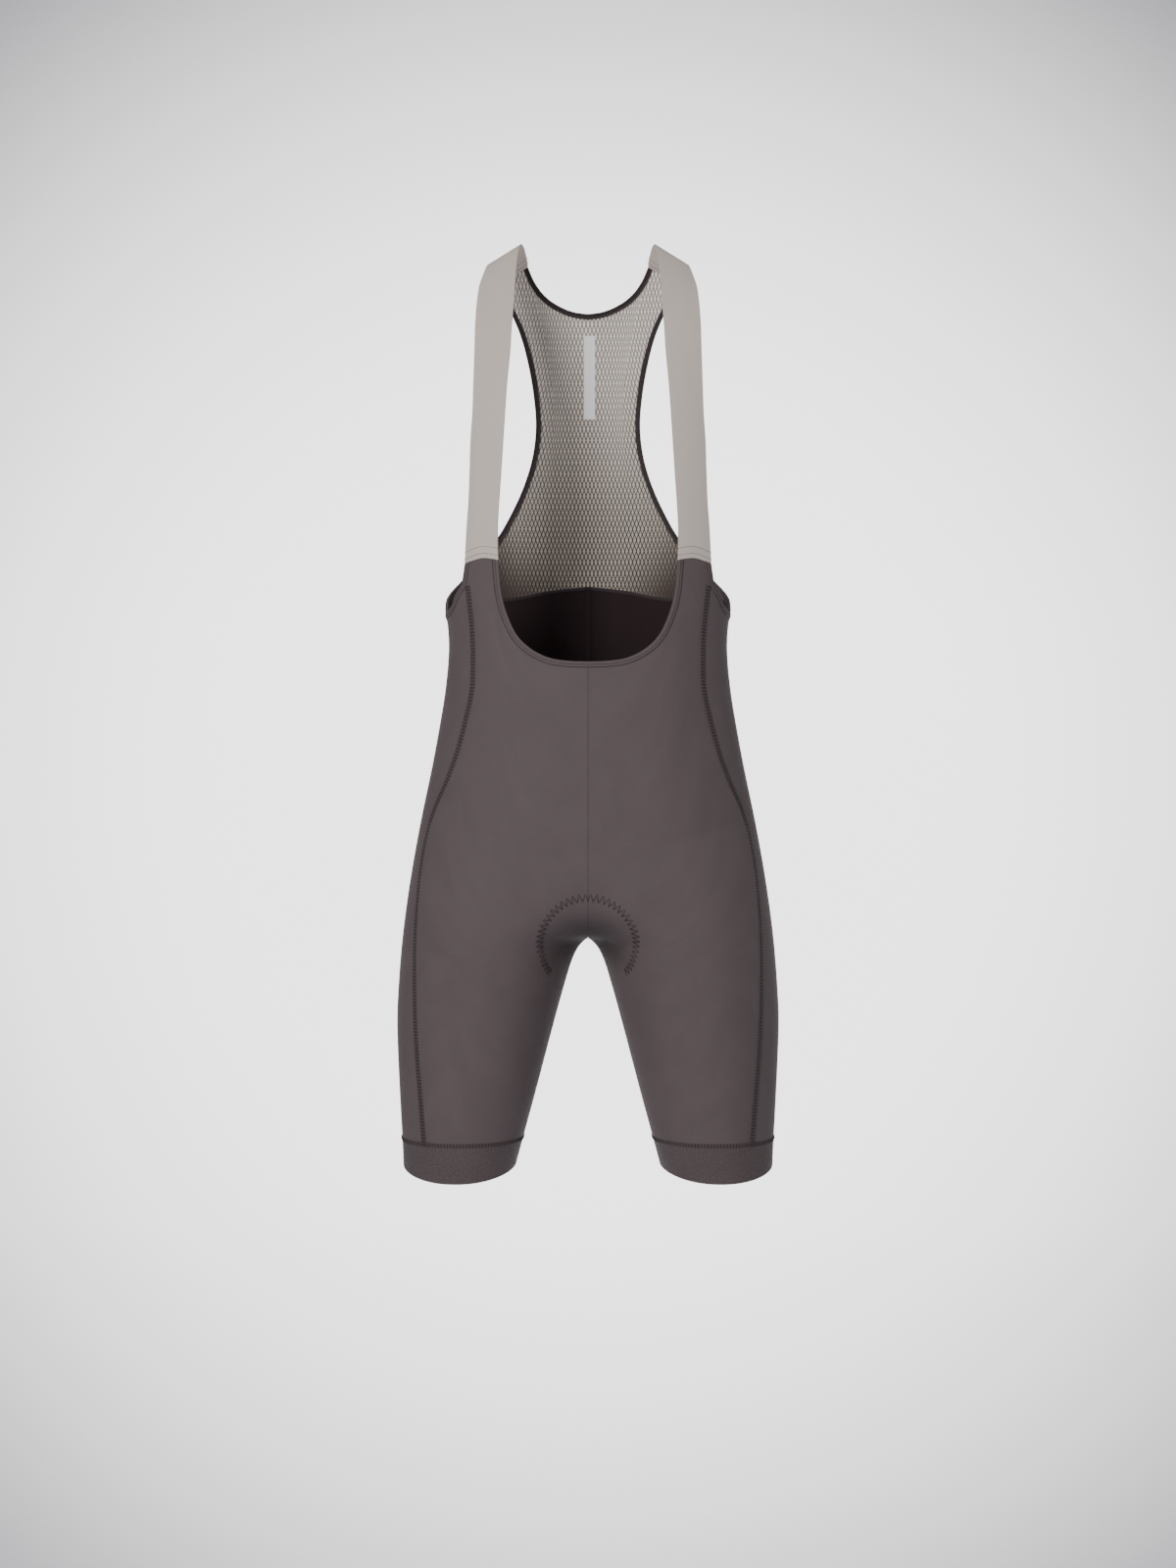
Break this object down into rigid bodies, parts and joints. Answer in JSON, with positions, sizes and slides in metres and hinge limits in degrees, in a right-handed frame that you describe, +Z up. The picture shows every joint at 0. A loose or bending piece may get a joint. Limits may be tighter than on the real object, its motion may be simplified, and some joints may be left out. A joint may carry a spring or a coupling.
{
  "type": "cycling bib shorts",
  "caption": "Stretch-knit cycling bib shorts filled out as if worn, with elastic straps, an open-knit back, flatlocked side seams, a seat pad and wide leg grippers.",
  "frame": {"origin": "midway between the shoulder straps, where the wearer's shoulders hold them", "axes": "+Z up, +X towards the wearer's left, front facing -Y"},
  "size_m": [0.3722, 0.23, 0.9105],
  "materials": {
    "stretch_knit": "smooth stretch knit with a soft sheen",
    "gripper_elastic": "matt raw-edge elastic",
    "strap_elastic": "ribbed elastic webbing",
    "dark_binding": "folded stretch binding",
    "open_knit": "open mesh knit",
    "woven_label": "satin woven",
    "pad_foam": "brushed knit over foam"
  },
  "bodies": {
    "root": {"front_panel_left": "stretch_knit", "front_panel_right": "stretch_knit", "side_panel_left": "stretch_knit", "side_panel_right": "stretch_knit", "leg_gripper_left": "gripper_elastic", "leg_gripper_right": "gripper_elastic", "armhole_binding_left": "stretch_knit", "armhole_binding_right": "stretch_knit", "mesh_side_binding_left": "dark_binding", "mesh_side_binding_right": "dark_binding", "strap_left": "strap_elastic", "strap_right": "strap_elastic", "front_neck_binding": "stretch_knit", "back_neck_binding": "dark_binding", "back_mesh": "open_knit", "label": "woven_label", "chamois_pad": "pad_foam"}
  },
  "joints": []
}
